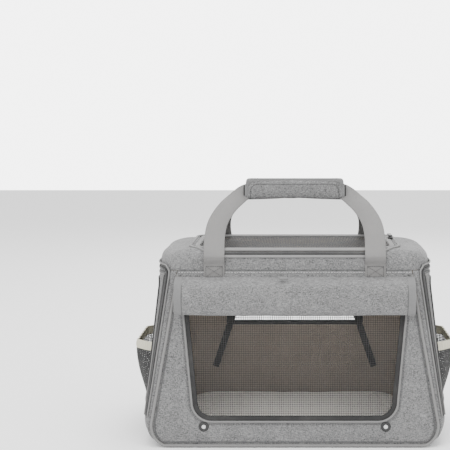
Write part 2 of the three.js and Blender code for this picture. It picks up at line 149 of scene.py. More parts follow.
def ruffle(piece, size, height, seed=0):
    shift = Vector((seed * 3.1, seed * 1.7, seed * 0.9))
    moves = [v.normal * noise.noise(v.co / size + shift) * height for v in piece.data.vertices]
    for vertex, move in zip(piece.data.vertices, moves):
        vertex.co += move


def dress(piece, body, materials, replaced=(), angle=40):
    wanted = materials if isinstance(materials, (list, tuple)) else [materials]
    while len(piece.data.materials) < len(wanted):
        piece.data.materials.append(None)
    while len(piece.data.materials) > len(wanted):
        piece.data.materials.pop()
    for i, material in enumerate(wanted):
        piece.data.materials[i] = material
    pick(piece)
    bpy.ops.object.shade_smooth_by_angle(angle=math.radians(angle))
    if isinstance(body, str):
        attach(piece, body)
    else:
        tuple(body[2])
        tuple(body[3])
        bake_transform(piece)
    if replaced:
        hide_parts(*replaced)
    return piece


def sweep(name, path, section, ups, closed=False, capped=True, uvWidth=0.03, away=None):
    count = len(path)
    frames = []
    for i, point in enumerate(path):
        before = path[(i - 1) % count if closed else max(i - 1, 0)]
        after = path[(i + 1) % count if closed else min(i + 1, count - 1)]
        tangent = (after - before).normalized()
        up = ups(i) if callable(ups) else ups
        side = tangent.cross(up).normalized()
        frames.append((point, side, side.cross(tangent).normalized()))
    ring = section if callable(section) else (lambda i: section)
    steps = count if closed else count - 1
    around = len(ring(0))
    run = [0.0]
    for i in range(1, count):
        run.append(run[-1] + (path[i] - path[i - 1]).length)
    total = run[-1]

    def place(u, v):
        i = round(u * steps) % count
        point, side, up = frames[i]
        a, b = ring(i)[round(v * around) % around]
        return point + side * a + up * b

    def uv(u, v):
        return run[min(round(u * steps), count - 1)], v * uvWidth

    piece = gridPiece(name, steps, around, place, uv=uv, away=None)
    if capped and not closed:
        editAll(piece, lambda: bpy.ops.mesh.select_all(action="DESELECT"),
                lambda: bpy.ops.mesh.select_non_manifold(),
                lambda: bpy.ops.mesh.fill_holes(sides=0))
    editAll(piece, turnOutward)
    return piece


def roundSection(radius, count=10):
    return [(radius * math.cos(k * math.tau / count), radius * math.sin(k * math.tau / count))
            for k in range(count)]


def flatSection(width, depth, lift=0.0, soft=0.3):
    a, b = width / 2, depth / 2
    c = a - depth * soft
    return [(-c, -b + lift), (c, -b + lift), (a, -b * 0.3 + lift), (a, b * 0.3 + lift),
            (c, b + lift), (-c, b + lift), (-a, b * 0.3 + lift), (-a, -b * 0.3 + lift)]


def join(name, pieces):
    pick(pieces[0])
    for piece in pieces:
        piece.select_set(True)
    bpy.ops.object.join()
    pieces[0].name = pieces[0].data.name = name
    return pieces[0]


def machined(name, node, material, body, bevel=0.0006, rounds=2):
    source = frame["nodes"][node]
    clearSelection()
    source.select_set(True)
    bpy.context.view_layer.objects.active = source
    bpy.ops.object.duplicate()
    piece = bpy.context.object
    piece.name = piece.data.name = name
    if piece.parent:
        bpy.ops.object.parent_clear(type="CLEAR_KEEP_TRANSFORM")
    editAll(piece, merge, lambda: bpy.ops.mesh.tris_convert_to_quads(),
            lambda: bpy.ops.mesh.dissolve_limited(angle_limit=math.radians(3)))
    applyModifier(piece, "BEVEL", width=bevel, segments=rounds, limit_method="ANGLE",
                  angle_limit=math.radians(35))
    return dress(piece, body, material, [node])


# the bag's outer form, as in the frame

def sideHalf(z):
    return mix(bag["halfBase"], bag["halfTop"], z / bag["height"])


def depthHalf(z):
    return mix(bag["depthBase"], bag["depthTop"], z / bag["height"])


def footFactor(z):
    below = max(0.0, bag["foot"] - z) / bag["foot"]
    return math.sqrt(max(0.0, 1 - below * below))


def crownInset(z):
    above = max(0.0, z - (bag["height"] - bag["crown"]))
    return bag["crown"] - math.sqrt(max(0.0, bag["crown"] ** 2 - above ** 2))


def bulge(z):
    return mix(bag["bulgeBase"], bag["bulgeTop"], z / bag["height"])


def faceHalf(z):
    return sideHalf(z) - bulge(z) - bag["foot"] * (1 - footFactor(z)) - crownInset(z)


def skinPoint(sx, sy, angle, z, lift=0.0):
    turn = math.radians(angle)
    a, b = bulge(z) * footFactor(z), bag["wrap"]
    x, y = a * math.sin(turn), b * math.cos(turn)
    normal = Vector((b * math.sin(turn), a * math.cos(turn))).normalized()
    x += faceHalf(z) + normal.x * lift
    y += depthHalf(z) - crownInset(z) - b + normal.y * lift
    return Vector((sx * x, sy * y, z))


def sidePoint(sx, y, z, lift=0.0):
    over = abs(y) - (depthHalf(z) - bag["wrap"])
    if over <= 0:
        x = faceHalf(z) + bulge(z) * footFactor(z) + lift
        return Vector((sx * x, y, z))
    angle = 90 - math.degrees(math.asin(min(1.0, over / bag["wrap"])))
    point = skinPoint(sx, math.copysign(1, y), angle, z, lift)
    return point


def facePoint(sy, x, slope, lift=0.0):
    out = bag["depthBase"] - slope * math.sin(lean) + lift * math.cos(lean)
    return Vector((x, sy * out, slope * math.cos(lean) + lift * math.sin(lean)))


def faceOut(sy):
    return Vector((0, sy * math.cos(lean), math.sin(lean)))


def edgeDepth(z, angle):
    return depthHalf(z) - bag["wrap"] * (1 - math.cos(math.radians(angle)))


def around(corner, u):
    order = ((-1, -1), (1, -1), (1, 1), (-1, 1))
    straight, bend = 0.16, 0.09
    u = (u % 1.0) * 4 * (straight + bend)
    i = min(3, int(u / (straight + bend)))
    rest = u - i * (straight + bend)
    first, second = order[i], order[(i + 1) % 4]
    angle = 0 if i % 2 == 0 else 90
    if rest <= straight:
        return corner(*first, angle).lerp(corner(*second, angle), rest / straight)
    t = (rest - straight) / bend * 90
    return corner(*second, t if i % 2 == 0 else 90 - t)


def roundedOutline(halfLow, halfHigh, low, high, bendLow, bendHigh):
    def corner(sx, sy, t):
        half, (rx, ry) = (halfLow, bendLow) if sy < 0 else (halfHigh, bendHigh)
        edge = low if sy < 0 else high
        turn = math.radians(t)
        return Vector((sx * (half - rx + rx * math.sin(turn)), edge - sy * ry + sy * ry * math.cos(turn)))
    return corner


def outlineLoop(outline, count):
    return [around(outline, i / count) for i in range(count)]


# materials

def newGroup(name, inputs, outputs):
    group = bpy.data.node_groups.new(name, "ShaderNodeTree")
    for label, value in inputs:
        socket = group.interface.new_socket(label, in_out="INPUT", socket_type="NodeSocketFloat")
        socket.default_value = value
    for label, kind in outputs:
        group.interface.new_socket(label, in_out="OUTPUT", socket_type=kind)
    return group, group.nodes.new("NodeGroupInput"), group.nodes.new("NodeGroupOutput")


def mathNode(tree, operation, a, b=None, clamp=False):
    node = tree.nodes.new("ShaderNodeMath")
    node.operation = operation
    node.use_clamp = clamp
    for i, value in enumerate((a, b)):
        if value is None:
            continue
        if isinstance(value, (int, float)):
            node.inputs[i].default_value = value
        else:
            tree.links.new(value, node.inputs[i])
    return node.outputs[0]


def stretchedNoise(tree, source, scale, detail=3, rough=0.6):
    mapping = tree.nodes.new("ShaderNodeMapping")
    mapping.inputs["Scale"].default_value = scale
    tree.links.new(source, mapping.inputs["Vector"])
    texture = tree.nodes.new("ShaderNodeTexNoise")
    texture.inputs["Scale"].default_value = 1
    texture.inputs["Detail"].default_value = detail
    texture.inputs["Roughness"].default_value = rough
    tree.links.new(mapping.outputs[0], texture.inputs["Vector"])
    return texture.outputs["Fac"]


def heatherGroup():
    group, _, out = newGroup("heatherYarn", [], [("Tone", "NodeSocketFloat"), ("Height", "NodeSocketFloat")])
    place = group.nodes.new("ShaderNodeTexCoord").outputs["Object"]
    weft = stretchedNoise(group, place, (230, 800, 1500), 4, 0.75)   # short slubs across
    warp = stretchedNoise(group, place, (1500, 800, 330), 4, 0.75)   # and up
    cloud = stretchedNoise(group, place, (30, 30, 30), 2)
    both = mathNode(group, "MULTIPLY", mathNode(group, "ADD", weft, warp), 0.5)
    sharp = mathNode(group, "MULTIPLY", mathNode(group, "SUBTRACT", both, 0.5), 5.2)
    soft = mathNode(group, "MULTIPLY", mathNode(group, "SUBTRACT", cloud, 0.5), 0.3)
    tone = mathNode(group, "ADD", mathNode(group, "ADD", sharp, 0.5), soft, clamp=True)
    group.links.new(tone, out.inputs["Tone"])
    group.links.new(both, out.inputs["Height"])
    return group


def ribGroup():
    group, given, out = newGroup("wovenRib", [("Pitch", 0.0012), ("Across", 1.0)],
                                 [("Tone", "NodeSocketFloat"), ("Height", "NodeSocketFloat")])
    flat = group.nodes.new("ShaderNodeSeparateXYZ")
    group.links.new(group.nodes.new("ShaderNodeUVMap").outputs[0], flat.inputs[0])
    slant = mathNode(group, "MULTIPLY", flat.outputs["Y"], given.outputs["Across"])
    run = mathNode(group, "DIVIDE", mathNode(group, "ADD", flat.outputs["X"], slant), given.outputs["Pitch"])
    wave = mathNode(group, "SINE", mathNode(group, "MULTIPLY", run, math.tau))
    place = group.nodes.new("ShaderNodeTexCoord").outputs["Object"]
    grain = stretchedNoise(group, place, (700, 700, 700), 3)
    tone = mathNode(group, "ADD", mathNode(group, "MULTIPLY", wave, 0.18), grain, clamp=True)
    group.links.new(tone, out.inputs["Tone"])
    group.links.new(mathNode(group, "MULTIPLY", wave, 0.5), out.inputs["Height"])
    return group


def netGroup():
    group, given, out = newGroup("openNet", [("Pitch", 0.0033), ("Wire", 0.3)],
                                 [("Cover", "NodeSocketFloat"), ("Height", "NodeSocketFloat")])
    flat = group.nodes.new("ShaderNodeSeparateXYZ")
    group.links.new(group.nodes.new("ShaderNodeUVMap").outputs[0], flat.inputs[0])
    lines = []
    for axis in ("X", "Y"):
        run = mathNode(group, "FRACT", mathNode(group, "DIVIDE", flat.outputs[axis], given.outputs["Pitch"]))
        lines.append(mathNode(group, "LESS_THAN", run, given.outputs["Wire"]))
    cover = mathNode(group, "MAXIMUM", *lines)
    group.links.new(cover, out.inputs["Cover"])
    group.links.new(mathNode(group, "ADD", *lines), out.inputs["Height"])
    return group


def wearGroup():
    group, given, out = newGroup("dustAndWear", [("Amount", 0.1)], [("Mask", "NodeSocketFloat")])
    place = group.nodes.new("ShaderNodeTexCoord").outputs["Object"]
    patch = stretchedNoise(group, place, (26, 26, 26), 4, 0.65)
    high = mathNode(group, "MULTIPLY", mathNode(group, "SUBTRACT", patch, 0.45), 3, clamp=True)
    group.links.new(mathNode(group, "MULTIPLY", high, given.outputs["Amount"]), out.inputs["Mask"])
    return group


groups = dict(heather=heatherGroup(), rib=ribGroup(), net=netGroup(), wear=wearGroup())


def addGroup(tree, kind, **values):
    node = tree.nodes.new("ShaderNodeGroup")
    node.node_tree = groups[kind]
    for key, value in values.items():
        node.inputs[key].default_value = value
    return node


def makeMaterial(name, dark, light, roughness, pattern=None, bump=0.0, sheen=0.0, dust=0.06,
                 specular=0.3, alpha=False, **values):
    material = bpy.data.materials.new(name)
    material.use_nodes = True
    tree = material.node_tree
    shader = tree.nodes["Principled BSDF"]
    shader.inputs["Roughness"].default_value = roughness
    shader.inputs["Specular IOR Level"].default_value = specular
    shader.inputs["Sheen Weight"].default_value = sheen
    ramp = tree.nodes.new("ShaderNodeMix")
    ramp.data_type = "RGBA"
    ramp.inputs["A"].default_value = (*dark, 1)
    ramp.inputs["B"].default_value = (*light, 1)
    dusty = tree.nodes.new("ShaderNodeMix")
    dusty.data_type = "RGBA"
    dusty.inputs["B"].default_value = (0.36, 0.35, 0.33, 1)
    tree.links.new(addGroup(tree, "wear", Amount=dust).outputs["Mask"], dusty.inputs["Factor"])
    tree.links.new(ramp.outputs["Result"], dusty.inputs["A"])
    tree.links.new(dusty.outputs["Result"], shader.inputs["Base Color"])
    if pattern:
        source = addGroup(tree, pattern, **values)
        tone, height = source.outputs[0], source.outputs["Height"]
    else:
        place = tree.nodes.new("ShaderNodeTexCoord").outputs["Object"]
        tone = height = stretchedNoise(tree, place, (900, 900, 900), 2)
    if alpha:
        tree.links.new(tone, shader.inputs["Alpha"])
        place = tree.nodes.new("ShaderNodeTexCoord").outputs["Object"]
        tone = stretchedNoise(tree, place, (300, 300, 300), 2)
    tree.links.new(tone, ramp.inputs["Factor"])
    if bump:
        relief = tree.nodes.new("ShaderNodeBump")
        relief.inputs["Distance"].default_value = bump
        relief.inputs["Strength"].default_value = 0.6
        tree.links.new(height, relief.inputs["Height"])
        tree.links.new(relief.outputs["Normal"], shader.inputs["Normal"])
    return material


def grey(value, warm=0.0):
    return (value * (1 + warm), value, value * (1 - warm))


def netMaterial(name, dark, light, roughness, pitch, wire):
    return makeMaterial(name, grey(dark), grey(light), roughness, "net", alpha=True, Pitch=pitch, Wire=wire)


heather = makeMaterial("heatherCloth", grey(0.035), grey(0.26), 0.92, "heather", bump=0.0005, sheen=0.1)
# a darker copy of the heather cloth: painted shade for the door frames on the ends
heatherPaintedShade = makeMaterial("heatherClothPaintedShade", grey(0.03), grey(0.22), 0.92, "heather", bump=0.0005)
lining = makeMaterial("cabinLining", (0.26, 0.215, 0.175), (0.37, 0.31, 0.255), 0.8, "heather", bump=0.0002)
webbing = makeMaterial("strapWebbing", grey(0.125, 0.02), grey(0.185, 0.02), 0.75, "rib", bump=0.0003,
                       sheen=0.1, Pitch=0.0016, Across=0.9)
pipingCloth = makeMaterial("pipingCloth", grey(0.15, 0.01), grey(0.23, 0.01), 0.8, "rib", bump=0.0002,
                           Pitch=0.0012)
tapeCloth = makeMaterial("zipTape", grey(0.035), grey(0.07), 0.85, "rib", bump=0.0002, Pitch=0.0009)
coilPlastic = makeMaterial("zipCoil", grey(0.012), grey(0.06), 0.45, "rib", bump=0.0006, Pitch=0.0018,
                           Across=0.0)
bindingCloth = makeMaterial("blackBinding", grey(0.012), grey(0.035), 0.8, "rib", bump=0.0002, Pitch=0.001)
greyBinding = makeMaterial("greyBinding", grey(0.12), grey(0.185), 0.8, "rib", bump=0.0002, Pitch=0.001)
# cream elastic for the pocket tops, also used for the painted highlight strip along the sleeve's top edge
elasticClothAndHighlight = makeMaterial("gatheredElasticAndHighlight", (0.42, 0.40, 0.31), (0.60, 0.575, 0.47), 0.85, "rib",
                            bump=0.0005, Pitch=0.0022, Across=0.0)
fleece = makeMaterial("padFleece", (0.50, 0.47, 0.43), (0.70, 0.67, 0.62), 0.98, bump=0.002, sheen=0.4)
boardFace = makeMaterial("boardFace", grey(0.05), grey(0.09), 0.7, bump=0.0002)
blackPlastic = makeMaterial("mouldedBlack", grey(0.008), grey(0.018), 0.38, bump=0.00008, specular=0.5,
                            dust=0.03)
snapMetal = makeMaterial("snapEye", grey(0.55), grey(0.7), 0.3, specular=0.6)
stitchThread = makeMaterial("stitchThread", grey(0.42), grey(0.55), 0.7)
# dark thread for seams and stitches, also used for the painted shadow line inside the face piping
darkThreadAndShadow = makeMaterial("darkThreadAndShadow", grey(0.06), grey(0.1), 0.7)
windowNet = netMaterial("windowNet", 0.03, 0.07, 0.7, 0.0034, 0.15)
denseNet = netMaterial("denseNet", 0.018, 0.045, 0.75, 0.0024, 0.38)
backNet = netMaterial("backNet", 0.09, 0.16, 0.75, 0.0036, 0.2)
lidNet = netMaterial("lidNet", 0.02, 0.05, 0.75, 0.0026, 0.4)
pocketNet = netMaterial("pocketNet", 0.018, 0.045, 0.75, 0.0028, 0.5)
print("materials ready")


# camera, light and floor

def addStage():
    clearSelection()
    bpy.ops.mesh.primitive_plane_add(size=12, location=(0, 0, -0.0006))
    floor = bpy.context.object
    floor.name = "studioFloor"
    pick(floor)
    bpy.ops.object.transform_apply(location=True)
    paper = makeMaterial("paleFloor", grey(0.93), grey(0.95), 0.9, specular=0.1, dust=0.0)
    floor.data.materials.append(paper)
    world = bpy.data.worlds.new("studioWorld")
    world.use_nodes = True
    world.node_tree.nodes["Background"].inputs["Color"].default_value = (1, 1, 1, 1)
    tree = world.node_tree
    seen = tree.nodes.new("ShaderNodeLightPath").outputs["Is Camera Ray"]
    strength = mathNode(tree, "ADD", mathNode(tree, "MULTIPLY", seen, 4.0), 1.7)
    tree.links.new(strength, tree.nodes["Background"].inputs["Strength"])
    bpy.context.scene.world = world
    lamps = (("key", (-1.2, -1.9, 1.9), 1.6, 30), ("fill", (1.7, -1.3, 1.2), 1.8, 10),
             ("rear", (0.4, 2.0, 1.8), 1.8, 30), ("top", (0, 0, 2.3), 1.6, 42))
    for name, place, size, power in lamps:
        clearSelection()
        bpy.ops.object.light_add(type="AREA", location=place)
        lamp = bpy.context.object
        lamp.name = name + "Lamp"
        lamp.data.size = size
        lamp.data.energy = power
        lamp.rotation_euler = (Vector((0, 0, 0.15)) - Vector(place)).to_track_quat("-Z", "Y").to_euler()


def addCamera():
    eye, aim = Vector((0, -1.84, 0.5)), Vector((0, 0, 0.19))
    clearSelection()
    bpy.ops.object.camera_add(location=eye)
    camera = bpy.context.object
    camera.rotation_euler = (aim - eye).to_track_quat("-Z", "Y").to_euler()
    camera.data.lens = 92
    camera.data.sensor_width = 36
    camera.data.shift_x = -0.155
    camera.data.shift_y = 0.187
    bpy.context.scene.camera = camera


addStage()
addCamera()
print("stage and camera ready")


# the fabric shell

shell = dict(cols=176, rows=10, depth=0.0028, puff=0.0022, edgeAngle=28)
frontWindow = dict(low=0.0413, high=0.239, halfLow=0.155, halfHigh=0.170, bend=0.028)
backWindow = dict(low=0.144, high=0.225, half=0.118, bend=(0.052, 0.075))


def faceOutline(spare=0.0):
    def corner(sx, sy, t):
        z = bag["foot"] * (1 - math.cos(math.radians(t))) if sy < 0 else bag["seam"] - 0.0004
        return Vector((sx * (faceHalf(z) - spare), max(z, 0.0004) / math.cos(lean)))
    return corner


def frontOpening(inset=0.0):
    w = frontWindow
    r = (w["bend"] - inset, w["bend"] - inset)
    return roundedOutline(w["halfLow"] - inset, w["halfHigh"] - inset, w["low"] + inset, w["high"] - inset, r,
                          (0.004, 0.004))


def backOpening(inset=0.0):
    w = backWindow
    bend = (w["bend"][0] - inset, w["bend"][1] - inset)
    return roundedOutline(w["half"] - inset, w["half"] - inset, w["low"] + inset, w["high"] - inset,
                          (0.004, 0.004), bend)


def addFacePanel(name, sy, opening, node):
    outer = faceOutline(0.0004)

    def place(u, v):
        flat = around(opening(), u).lerp(around(outer, u), v)
        swell = math.sin(math.pi * v) ** 0.7 * shell["puff"]
        crease = noise.noise(Vector((flat.x * 22, flat.y * 34, sy * 3.3))) * 0.0011 * math.sin(math.pi * v)
        return facePoint(sy, flat.x, flat.y, swell + crease)

    def uv(u, v):
        flat = around(opening(), u).lerp(around(outer, u), v)
        return flat.x, flat.y

    panel = gridPiece(name, shell["cols"], shell["rows"], place, uv=uv)
    thicken(panel, shell["depth"], lining=True)
    return dress(panel, "bag", [heather, lining], [node])


def addWindow(name, sy, opening, net, nodes, sag):
    middle = around(opening(), 0.08).lerp(around(opening(), 0.58), 0.5)
    inner = opening(0.004)

    def flatPlace(u, v):
        edge = around(inner, u)
        return Vector((edge.x * v, mix(middle.y, edge.y, v)))

    def place(u, v):
        flat = flatPlace(u, v)
        return facePoint(sy, flat.x, flat.y, -0.0012 - sag * (1 - v * v))

    mesh = gridPiece(name + "Net", 96, 12, place, uv=lambda u, v: tuple(flatPlace(u, v)))
    thicken(mesh, 0.0003)
    dress(mesh, "bag", net, [nodes[0]])
    loop = outlineLoop(opening(0.0028), 176)
    path = [facePoint(sy, p.x, p.y, 0.0006) for p in loop]
    out = faceOut(sy)
    binding = sweep(name + "Binding", path, flatSection(0.0075, 0.0026), out, closed=True)
    dress(binding, "bag", bindingCloth, [nodes[1]])
    outer = [facePoint(sy, p.x, p.y, 0.0022) for p in outlineLoop(opening(-0.0024), 176)]
    edging = sweep(name + "Edging", outer, roundSection(0.0017, 8), out, closed=True)
    dress(edging, "bag", pipingCloth)


def stitches(name, path, ups, body, material=stitchThread, pitch=0.0042, length=0.0028, radius=0.00035):
    carried, spots = 0.0, []
    for i in range(len(path) - 1):
        step = path[i + 1] - path[i]
        reach = step.length
        while carried < reach:
            up = ups(i) if callable(ups) else ups
            spots.append((path[i] + step * (carried / reach), step.normalized(), up))
            carried += pitch
        carried -= reach
    clearSelection()
    bpy.ops.mesh.primitive_cylinder_add(vertices=5, radius=radius, depth=length, location=(0, 0, 0))
    first = bpy.context.object
    verts = [v.co.copy() for v in first.data.vertices]
    faces = [tuple(f.vertices) for f in first.data.polygons]
    allVerts, allFaces = [], []
    for spot, along, up in spots:
        side = along.cross(up).normalized()
        top = side.cross(along).normalized()
        turn = Matrix((side, top, along)).transposed()
        start = len(allVerts)
        allVerts += [spot + turn @ v for v in verts]
        allFaces += [tuple(start + k for k in f) for f in faces]
    first.data.clear_geometry()
    first.data.from_pydata(allVerts, [], allFaces)
    first.name = first.data.name = name
    editAll(first, turnOutward)
    return dress(first, body, material)


def addFacePiping(name, sy, node):
    out = faceOut(sy)
    edge = faceOutline(0.0022)
    bottom = [around(edge, mix(-0.25, 0.41, i / 150)) for i in range(151)]
    loop = [p for p in bottom if p.y <= bag["seam"] / math.cos(lean) - 0.003]
    path = [facePoint(sy, p.x, max(p.y, 0.0024), 0.0026) for p in loop]
    cord = sweep(name, path, roundSection(0.0022, 10), out)
    dress(cord, "bag", pipingCloth, [node])
    # a dark line just inside the piping: painted shadow of the piping's seam, in the dark thread material
    inner = [facePoint(sy, p.x * 0.975, max(p.y, 0.0078), 0.0019) for p in loop]
    line = sweep(name + "Shadow", inner, flatSection(0.0016, 0.0008), out)
    dress(line, "bag", darkThreadAndShadow)


def addGussets():
    top = bag["seam"] - 0.0004
    nodes = {(-1, -1): "gusset_front_left", (1, -1): "gusset_front_right",
             (-1, 1): "gusset_back_left", (1, 1): "gusset_back_right"}
    floorHalf = faceHalf(0) - 0.0096
    for (sx, sy), node in nodes.items():
        def profile(v):
            if v < 0.66:
                return mix(top, bag["foot"], v / 0.66), 0.0
            if v < 0.92:
                turn = (v - 0.66) / 0.26 * math.pi / 2
                return bag["foot"] * (1 - math.sin(turn)), 0.0
            return 0.0, (v - 0.92) / 0.08

        def place(u, v):
            z, run = profile(v)
            angle = mix(1.2, shell["edgeAngle"] - 0.5, u)
            swell = math.sin(math.pi * u) * 0.0012 if z > 0.012 else 0.0
            point = skinPoint(sx, sy, angle, z, swell)
            point.x = mix(point.x, sx * floorHalf, run)
            return point

        gusset = gridPiece(node + "Cloth", 6, 60, place, uv=(0.03, 0.33))
        thicken(gusset, shell["depth"], lining=True)
        dress(gusset, "bag", [heather, lining], [node])


def addBottom():
    floorHalf, sill = faceHalf(0) - 0.01, 0.0414

    def place(u, v):
        sy = 2 * v - 1
        if 0.2 < u < 0.8:
            t = (u - 0.2) / 0.6
            x = mix(-floorHalf, floorHalf, t)
            return Vector((x, sy * 0.1364, 0.0))
        sx, t = (-1, (0.2 - u) / 0.2) if u < 0.5 else (1, (u - 0.8) / 0.2)
        z = min(sill, bag["foot"] * (1 - math.cos(t * math.pi / 2)) * 1.035)
        depth = edgeDepth(z, shell["edgeAngle"]) - 0.0003
        point = sidePoint(sx, sy * depth, z)
        if t == 0:
            point.x = sx * (faceHalf(0) - 0.001)
        return point

    bottom = gridPiece("bottomCloth", 60, 24, place, uv=(0.5, 0.28))
    thicken(bottom, shell["depth"], lining=True)
    dress(bottom, "bag", [heather, lining], ["bottom_panel"])


for sy, name, opening in ((-1, "front", frontOpening), (1, "back", backOpening)):
    addFacePanel(name + "Cloth", sy, opening, name + "_panel")
    addFacePiping(name + "Piping", sy, name + "_piping")
addWindow("frontWindow", -1, frontOpening, windowNet, ("front_window_mesh", "front_window_binding"), 0.003)
addWindow("backWindow", 1, backOpening, backNet, ("back_window_mesh", "back_window_binding"), 0.002)
addGussets()
addBottom()
print("shell sewn")


# rim, lid and its zip

lid = dict(half=0.156, front=-0.104, back=0.0885, corner=0.045, backCorner=0.012,
           rimGap=0.004, sag=0.004, netInset=0.009)


def crownRise(x, y):
    inset = min(0.112 - abs(y), 0.2083 - abs(x))
    return min(1.0, max(0.0, 1 - inset / bag["crown"]))


def lidPoint(flat, lift=0.0):
    rise = crownRise(flat.x, flat.y)
    up = lidUp(flat)
    z = bag["height"] - bag["crown"] * (1 - math.sqrt(1 - rise * rise))
    return Vector((flat.x, flat.y, z)) + up * lift


def lidUp(flat):
    rise = crownRise(flat.x, flat.y)
    return Vector((0, math.copysign(rise, flat.y), math.sqrt(1 - rise * rise)))


def lidOutline(grow=0.0):
    half, near, far = lid["half"] + grow, lid["corner"] + grow, lid["backCorner"] + max(grow, 0)
    return roundedOutline(half, half, lid["front"] - grow, lid["back"] + min(grow, 0.004),
                          (near, near), (far, far))


def addRim():
    low, turnAt = bag["seam"] + 0.0002, bag["height"] - bag["crown"]
    inner = lidOutline(lid["rimGap"])

    def skirt(z):
        return lambda sx, sy, t: skinPoint(sx, sy, t, z)

    ring = outlineLoop(skirt(turnAt), 800)
    nearest = kdtree.KDTree(len(ring))
    for i, point in enumerate(ring):
        nearest.insert(point, i)
    nearest.balance()

    def insetOf(flat):
        spot = Vector((flat.x, flat.y, turnAt))
        i = nearest.find(spot)[1]
        ends = (ring[i - 1], ring[(i + 1) % len(ring)])
        return min((geometry.intersect_point_line(spot, ring[i], end)[0] - spot).length for end in ends)

    def place(u, v):
        if v < 0.16:
            return around(skirt(mix(low, turnAt, v * 6)), u)
        run = (max(0.0, v - 1 / 6) * 1.2) ** 1.7
        outer, edge = around(skirt(turnAt), u), around(inner, u)
        flat = Vector((outer.x, outer.y)).lerp(edge, run)
        inset = min(bag["crown"], insetOf(flat)) if run > 0 else 0.0
        rise = 1 - inset / bag["crown"]
        z = bag["height"] - bag["crown"] * (1 - math.sqrt(max(0.0, 1 - rise * rise)))
        return Vector((flat.x, flat.y, z - 0.0022 * math.sin(math.pi * run) * (abs(flat.x) > 0.16)))

    rim = gridPiece("rimCloth", 200, 24, place)
    ruffle(rim, 0.05, 0.0005, 4)
    thicken(rim, shell["depth"], lining=True)
    dress(rim, "bag", [heather, lining], ["top_rim"])
    edge = lidOutline(0.0058)
    loop = outlineLoop(edge, 176)
    cord = sweep("rimEdging", [lidPoint(p, 0.001) for p in loop], flatSection(0.0046, 0.0026),
                 lambda i: lidUp(loop[i]), closed=True)
    dress(cord, "bag", pipingCloth)


def addLid():
    middle = Vector((0, (lid["front"] + lid["back"]) / 2))
    net = lidOutline(-lid["netInset"] + 0.002)

    def flatPlace(u, v):
        return middle.lerp(around(net, u), v)

    def place(u, v):
        return lidPoint(flatPlace(u, v)) - Vector((0, 0, lid["sag"] * (1 - v * v)))

    mesh = gridPiece("lidNet", 112, 14, place, uv=lambda u, v: tuple(flatPlace(u, v)))
    thicken(mesh, 0.0004)
    dress(mesh, "lid", lidNet, ["lid_mesh"])
    loop = outlineLoop(lidOutline(-0.0045), 176)
    band = sweep("lidBinding", [lidPoint(p, 0.0004) for p in loop], flatSection(0.0085, 0.0026),
                 lambda i: lidUp(loop[i]), closed=True)
    dress(band, "lid", pipingCloth, ["lid_frame"])
    run = [around(lidOutline(0.0022), mix(-0.235, 0.395, i / 150)) for i in range(151)]
    addZip("lidZip", [lidPoint(p, 0.0) for p in run], [lidUp(p) for p in run], "bag", 0.0072)


zipper = dict(lift=0.0006, tapeThick=0.001, coilWidth=0.0044, coilThick=0.002)
doorZip = dict(low=0.046, high=0.2684, angle=28, corner=0.004, lift=0.0012, width=0.0145, edgeOut=0.0078,
               edgeRadius=0.0013)


def addZip(name, path, ups, body, width):
    z = zipper
    tape = sweep(name + "Tape", [p - ups[i] * z["lift"] for i, p in enumerate(path)],
                 flatSection(width, z["tapeThick"]), lambda i: ups[i])
    dress(tape, body, tapeCloth)
    coil = sweep(name + "Coil", [p + ups[i] * z["lift"] for i, p in enumerate(path)],
                 flatSection(z["coilWidth"], z["coilThick"], soft=0.8), lambda i: ups[i])
    dress(coil, body, coilPlastic)


addRim()
addLid()
print("rim and lid sewn")


# side doors, their zips and pockets

door = dict(low=0.0424, high=0.2672, outerAngle=28.8, netAngle=62, netLow=0.0618, netHigh=0.2478, bend=0.014)
pocket = dict(half=0.0815, low=0.0664, high=0.1518, netTop=0.84, elasticFrom=0.835, foot=0.0035,
              stand=0.0262)


def doorOutline(angle, low, high, bend):
    def corner(s, up, t):
        turn = math.radians(t)
        z = (low if up < 0 else high) - up * bend * (1 - math.cos(turn))
        return Vector((s * (edgeDepth(z, angle) - bend + bend * math.sin(turn)), z))
    return corner


def sideUp(side, y, z):
    return (sidePoint(side, y, z, 0.01) - sidePoint(side, y, z, 0)).normalized()


def addDoor(name, side):
    inner = doorOutline(door["netAngle"], door["netLow"], door["netHigh"], door["bend"])
    outer = doorOutline(door["outerAngle"], door["low"], door["high"], 0.002)
    body = "door_" + name

    def framePlace(u, v):
        p = around(inner, u).lerp(around(outer, u), v)
        return sidePoint(side, p.x, p.y, 0.0008 * math.sin(math.pi * v))

    frameCloth = gridPiece(f"doorFrame_{name}", 160, 6, framePlace)
    thicken(frameCloth, shell["depth"], lining=True)
    # the door frame takes the darker heather copy, painted shade
    dress(frameCloth, body, [heatherPaintedShade, lining], ["door_frame_" + name])
    middle = Vector((0, 0.155))

    def netFlat(u, v):
        return middle.lerp(around(inner, u), v)

    def netPlace(u, v):
        p = netFlat(u, v * 1.01)
        return sidePoint(side, p.x, p.y, -0.0014)

    net = gridPiece(f"doorNet_{name}", 112, 16, netPlace, uv=lambda u, v: tuple(netFlat(u, v)))
    thicken(net, 0.0004)
    dress(net, body, denseNet, ["door_mesh_" + name])
    rim = outlineLoop(doorOutline(door["netAngle"] - 2, door["netLow"] - 0.001, door["netHigh"] + 0.001,
                                  door["bend"]), 160)
    binding = sweep(f"doorBinding_{name}", [sidePoint(side, p.x, p.y, 0.0008) for p in rim],
                    flatSection(0.007, 0.0022), lambda i: sideUp(side, rim[i].x, rim[i].y), closed=True)
    dress(binding, body, bindingCloth)


